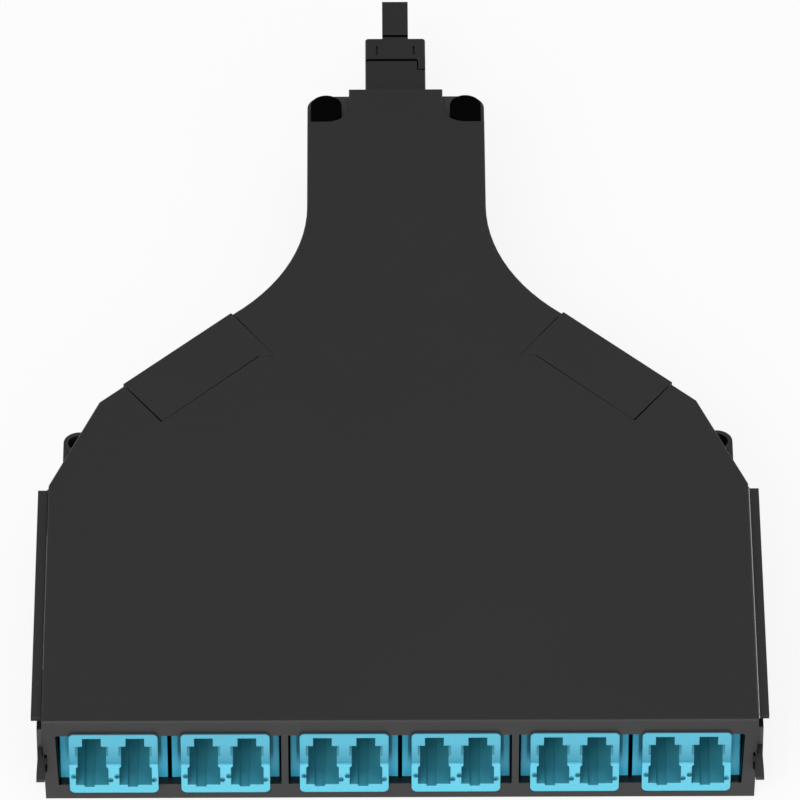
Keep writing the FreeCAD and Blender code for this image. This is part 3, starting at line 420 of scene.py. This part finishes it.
# Painted shade: a thin black rim is painted on the face round the outer windows' edges.
def painted_window_rim_shade(place):
    height = place.height()
    edge = (height - WINDOW_BOTTOM) * WINDOW_DRAFT + WINDOW_EDGE_LOW
    out = place.aside() - edge
    rim = out.falls(WINDOW_RIM, CRISP) * out.rises(-WIDE, SOFT)
    tall = height.rises(WINDOW_BOTTOM - CRISP, CRISP) * height.falls(WINDOW_TOP, CRISP)
    return rim * tall * place.behind_face().falls(PLATE_BACK + WIDE, WIDE)


# Painted shadow: a dark teal band is painted on the face just under each bezel.
def painted_shadow_under_bezels(place):
    height = place.height()
    band = height.rises(BEZEL_BOTTOM - BEZEL_SHADOW, WIDE) * height.falls(BEZEL_BOTTOM, SOFT)
    beside = place.from_adapter().falls(BEZEL_HALF - BEZEL_SHADOW_END, BEZEL_SHADOW_END)
    return band * beside * place.behind_face().falls(SOFT, WIDE)


# Painted shade: narrow bands at the cap's seam, its groove and the key's end are painted black.
def cap_cleft_painted_shade(place):
    at_key = place.to_right().rises(CAP_KEY_SIDE, CRISP)
    painted_black_shade = 0.0
    for middle, half, where in (
        (CAP_SEAM, CLEFT_HALF, 1.0 - at_key),
        (CAP_CLEFT, CLEFT_HALF, 1.0),
        (CAP_KEY_END, KEY_CLEFT_HALF, at_key),
    ):
        away = (place.behind_face() - middle).magnitude()
        painted_black_shade = away.falls(half, CRISP) * where + painted_black_shade
    return painted_black_shade * CLEFT_DARKNESS


# Painted light: the latches' upper front ends are painted lighter, to the lit face's tone.
def painted_lit_latch_ends(place):
    return place.behind_face().falls(LATCH_END, SOFT) * place.height().rises(TAB_TOP, SOFT)


# Painted light: the latches' finger tabs are painted a little lighter than the rest of the latch.
def painted_lit_finger_tabs(place):
    return place.behind_face().falls(LATCH_END, SOFT) * place.height().falls(TAB_TOP, SOFT)


# Painted light: a pale line on the right rail's inner edge stands for the ground seen through the gap.
def painted_seam_light(place):
    across = place.to_right()
    inner = across.falls(RAIL_INNER + PAINTED_SEAM_WIDTH, CRISP / 2) * across.rises(0.0, MIDDLE_FADE)
    return inner * place.height().rises(RAIL_BOTTOM, SOFT)


# %% Black plastics
cover_black = moulded(
    "cover_black", grey(0.006), grey(0.012), grey(0.04),
    roughness=0.56, grain=0.00028, depth=0.000012, radius=0.0002, gloss=0.4,
    painted_light_and_shade=((painted_lit_front_lip, grey(0.024)),),
)
shell_black = moulded(
    "shell_black", grey(0.014), grey(0.025), grey(0.035),
    roughness=0.5, grain=0.00022, depth=0.000009, radius=0.0002,
    painted_light_and_shade=((painted_window_edge_shade, grey(0.001)), (painted_shadow_under_bezels, (0.002, 0.006, 0.008, 1))),
    painted_black_shade=(painted_window_rim_shade,),
)
latch_black = moulded(
    "latch_black", grey(0.008), grey(0.014), grey(0.05),
    roughness=0.46, grain=0.0003, depth=0.000006, radius=0.00018, gloss=0.4,
    painted_light_and_shade=((painted_lit_latch_ends, grey(0.075)), (painted_lit_finger_tabs, grey(0.02)), (painted_seam_light, grey(0.7))),
)
clip_black = moulded(
    "clip_black", grey(0.006), grey(0.012), grey(0.03),
    roughness=0.55, grain=0.00025, depth=0.000009, radius=0.00015, gloss=0.4,
)
cap_black = moulded(
    "cap_black", grey(0.005), grey(0.01), grey(0.03),
    roughness=0.52, grain=0.0003, depth=0.000008, radius=0.0002, gloss=0.38,
    painted_black_shade=(cap_cleft_painted_shade,),
)
rivet_black = moulded(
    "rivet_black", grey(0.0002), grey(0.0006), grey(0.001),
    roughness=0.6, grain=0.0004, depth=0.000004, radius=0.0001, gloss=0.02,
)
resin_black = moulded(
    "resin_black", grey(0.006), grey(0.012), grey(0.03),
    roughness=0.3, grain=0.001, depth=0.00003, radius=0.0004,
)
ferrule_black = moulded(
    "ferrule_black", grey(0.012), grey(0.02), grey(0.05),
    roughness=0.28, grain=0.0002, depth=0.000003, radius=0.0001,
)

# %% [markdown]
# The adapters are dyed through and polished in the tool, so they shine more and their grain hardly
# shows. The light comes from far in front and fades quickly inside the windows, so painted shade
# darkens the colour behind the bezel, most of all close to it, and in the ears and round the pips;
# behind the bezel it lightens towards the bottom. Deep in a port the light goes to and fro between its
# walls, and there painted light makes the colour paler again. The slanted brow over each pair of ports
# has painted shade that darkens downwards to its step, and the bezel's upper edge and its corners carry
# painted shade.

# %% Masks on the adapters
BEZEL_TOP = 0.0131
BEZEL_FRONT = 0.0003
BEZEL_REACH = 0.001
TOP_ROUNDING = 0.00075
TOP_SHADE = 0.00017
BOTTOM_ROUNDING = 0.0009
BROW_STEP = 0.00684
BROW_DARKEST = 0.007
BROW_FADE = 0.004
BROW_LEAST = 0.42
BROW_RANGE = 0.5
FLANGE_FADE = 0.0008
FLANGE_BOTTOM = 0.0028
FLANGE_TALL = 0.0062
OUTERMOST = 0.0469
STRIP_WIDTH = 0.0004
STRIP_BOTTOM = 0.0053
STRIP_FADE = 0.0025
STRIP_STRENGTH = 0.65
OUTERMOST_STRIP_STRENGTH = 0.25
PORT_SIDES = 0.0058
DEEP_START = 0.003
DEEP_FADE = 0.0065
PIP_SHIFT = 0.00267
PIP_HEIGHTS = {-1: 0.00466, 1: 0.00395}
PIP_RADIUS = 0.00034
PIP_STRETCH = 1.3
PIP_DEPTH = 0.0009
EAR_SIDE = 0.00234
EAR_BOTTOM = 0.00838
EAR_TOP = 0.01038
EAR_DEPTH = 0.001
EAR_FADE = 0.0005


# Painted shade: the brow's colour darkens downwards to its step.
def painted_brow_shade(place):
    height = place.height()
    shade = height.falls(BROW_DARKEST, BROW_FADE) * BROW_RANGE + BROW_LEAST
    return shade * height.rises(BROW_STEP, CRISP)


# Painted shade: the flanges behind the front plate beside each bezel are painted darker.
def painted_flange_shade(place):
    return place.behind_face().rises(WIDE, FLANGE_FADE) * place.from_adapter().rises(PORT_SIDES, SOFT)


# Painted shade: the outermost flanges get a painted shade of their own.
def painted_outer_flange_shade(place):
    return painted_flange_shade(place) * place.aside().rises(OUTERMOST, SOFT)


def downwards(mask):
    """The same mask, from nothing at the top to all of it at the bottom."""
    return lambda place: mask(place) * place.height().falls(FLANGE_BOTTOM, FLANGE_TALL)


def painted_bezel_side_shadow(place):
    """Painted shade beside a bezel: strong between two adapters, weak at the outermost flanges."""
    near = place.from_adapter().falls(BEZEL_HALF + STRIP_WIDTH, WIDE)
    high = place.height().rises(STRIP_BOTTOM, STRIP_FADE)
    strength = painted_outer_flange_shade(place) * (OUTERMOST_STRIP_STRENGTH - STRIP_STRENGTH) + STRIP_STRENGTH
    return painted_flange_shade(place) * near * high * strength


def inside_ports(place):
    return place.from_adapter().falls(PORT_SIDES, SOFT)


# Painted shade: the colour is painted darker inside the ports.
def painted_port_shade(place):
    below_brow = place.height().falls(BROW_STEP - CRISP, CRISP)
    shallow = place.behind_face().rises(CRISP / 2 - BEZEL_FRONT, SOFT) * below_brow
    return shallow.at_least(place.behind_face().rises(WIDE, WIDE)) * inside_ports(place)


# Painted light: deep in the ports the colour is painted paler again.
def painted_deep_port_light(place):
    return place.behind_face().rises(DEEP_START, DEEP_FADE) * inside_ports(place)


# Painted shade: a dark disc is painted round and in each pip.
def painted_pip_shade(place):
    spots = 0.0
    for side, middle in PIP_HEIGHTS.items():
        across = place.across_port() - side * PIP_SHIFT
        up = (place.height() - middle) * (1 / PIP_STRETCH)
        reach = (across * across + up * up) ** 0.5
        spots = reach.falls(PIP_RADIUS, SOFT) + spots
    return spots * place.behind_face().falls(PIP_DEPTH, SOFT)


# Painted shade: the ears are painted darker, most of all near the front.
def painted_ear_shade(place):
    height = place.height()
    tall = height.rises(EAR_BOTTOM, CRISP) * height.falls(EAR_TOP, CRISP)
    wide = place.across_port().magnitude().falls(EAR_SIDE, CRISP / 2)
    return wide * tall * place.behind_face().falls(EAR_DEPTH, EAR_FADE)


def past_rounding(place, rise, radius):
    """One outside a bezel corner of this radius. Rise is how far a place is past the corner's centre."""
    out = (place.from_adapter() - (BEZEL_HALF - radius)).at_least(0.0)
    up = rise.at_least(0.0)
    reach = (out * out + up * up) ** 0.5
    return reach.rises(radius - CRISP / 2, CRISP) * place.behind_face().falls(0.0, BEZEL_REACH)


# Painted shade: a dark line is painted along the bezel's upper edge.
def painted_top_edge_shade(place):
    rise = place.height() - (BEZEL_TOP - TOP_SHADE - TOP_ROUNDING)
    return past_rounding(place, rise, TOP_ROUNDING)


# Painted shade: the bezel's lower corners are painted dark outside a rounder corner.
def painted_corner_shade(place):
    fall = (BEZEL_BOTTOM + BOTTOM_ROUNDING) - place.height()
    return past_rounding(place, fall, BOTTOM_ROUNDING)


# %% [markdown]
# The inner plugs are the same kind of plastic as the adapters, in their own colours, and the fibres
# have a soft jacket.

# %% Coloured plastics
# The dark teal of the painted shade along the bezels' edges and corners.
BEZEL_EDGE_SHADE = (0.006, 0.045, 0.065, 1)

adapter_aqua = moulded(
    "adapter_aqua", (0.085, 0.46, 0.60, 1), (0.11, 0.53, 0.68, 1), (0.2, 0.72, 0.86, 1),
    roughness=0.32, grain=0.0005, depth=0.000004, radius=0.0003, rub=2.0,
    painted_light_and_shade=(
        (painted_brow_shade, (0.029, 0.232, 0.347, 1)),
        (painted_flange_shade, (0.0, 0.24, 0.365, 1)),
        # The downwards tints are lighter, so the painted flange shade fades towards the bottom.
        (downwards(painted_flange_shade), (0.05, 0.42, 0.6, 1)),
        (painted_outer_flange_shade, (0.0, 0.29, 0.45, 1)),
        (downwards(painted_outer_flange_shade), (0.08, 0.58, 0.78, 1)),
        (painted_port_shade, (0.045, 0.285, 0.375, 1)),
        (painted_deep_port_light, (0.11, 0.59, 0.68, 1)),
        (painted_ear_shade, (0.03, 0.25, 0.34, 1)),
        (painted_pip_shade, (0.03, 0.26, 0.37, 1)),
        (painted_top_edge_shade, BEZEL_EDGE_SHADE),
        (painted_corner_shade, BEZEL_EDGE_SHADE),
    ),
    painted_black_shade=(painted_bezel_side_shadow,),
)
plug_blue = moulded(
    "plug_blue", (0.02, 0.09, 0.42, 1), (0.03, 0.12, 0.5, 1), (0.1, 0.25, 0.7, 1),
    roughness=0.34, grain=0.0005, depth=0.000004, radius=0.0003,
)
plug_beige = moulded(
    "plug_beige", (0.55, 0.47, 0.34, 1), (0.63, 0.55, 0.41, 1), (0.75, 0.68, 0.55, 1),
    roughness=0.36, grain=0.0005, depth=0.000004, radius=0.0003,
)
fibre_coat = moulded(
    "fibre_coat", (0.05, 0.42, 0.5, 1), (0.07, 0.5, 0.58, 1), (0.1, 0.6, 0.7, 1),
    roughness=0.38, grain=0.0004, depth=0.000005, radius=0.0001,
)

# %% [markdown]
# Sleeves and round ferrules are ground zirconia, a dense white ceramic with a clear shine. The guide
# pins are ground steel, whose fine marks run round the pin.

# %% Ceramic and steel
STEEL_MARKS = (300, 9000, 300)
STEEL_SMOOTHEST = 0.14
STEEL_MARKS_ROUGHEN = 0.18

ceramic_white = moulded(
    "ceramic_white", (0.78, 0.77, 0.73, 1), (0.84, 0.83, 0.80, 1), (0.88, 0.87, 0.85, 1),
    roughness=0.16, grain=0.0004, depth=0.000001, radius=0.0001,
)


def ground_steel(name):
    finish = Finish(name)
    inputs = {"Vector": Place(finish).vector, "Scale": STEEL_MARKS}
    marks = noise(finish, finish.node("ShaderNodeMapping", None, inputs), 1.0)
    surface = {
        "Base Color": finish.blend(marks, grey(0.55), grey(0.68)),
        "Metallic": 1.0,
        "Roughness": marks * STEEL_MARKS_ROUGHEN + STEEL_SMOOTHEST,
    }
    finish.show(finish.node("ShaderNodeBsdfPrincipled", None, surface))
    return finish.material


pin_steel = ground_steel("pin_steel")

# %% [markdown]
# Each solid keeps its mesh and gets one of these finishes in its material slots.

# %% Give every solid its finish
FINISHES = {
    "top_cover": cover_black,
    "base_shell": shell_black,
    "left_latch": latch_black,
    "right_latch": latch_black,
    "left_shoulder_clip": clip_black,
    "right_shoulder_clip": clip_black,
    "corner_rivets": rivet_black,
    "mpo_adapter": cap_black,
    "mpo_dust_cap": cap_black,
    "inner_mpo_plug": plug_beige,
    "mpo_ferrule": ferrule_black,
    "mpo_guide_pins": pin_steel,
    "inner_lc_plugs": plug_blue,
    "lc_ferrules": ceramic_white,
    "alignment_sleeves": ceramic_white,
    "fibre_fanout": fibre_coat,
    "ribbon_fibre": fibre_coat,
    "fanout_block": resin_black,
}
for name, solid in nodes.items():
    material = adapter_aqua if name.startswith("lc_adapter") else FINISHES[name]
    for material_slot in solid.material_slots:
        material_slot.material = material
print("solids with a finish:", len(nodes))
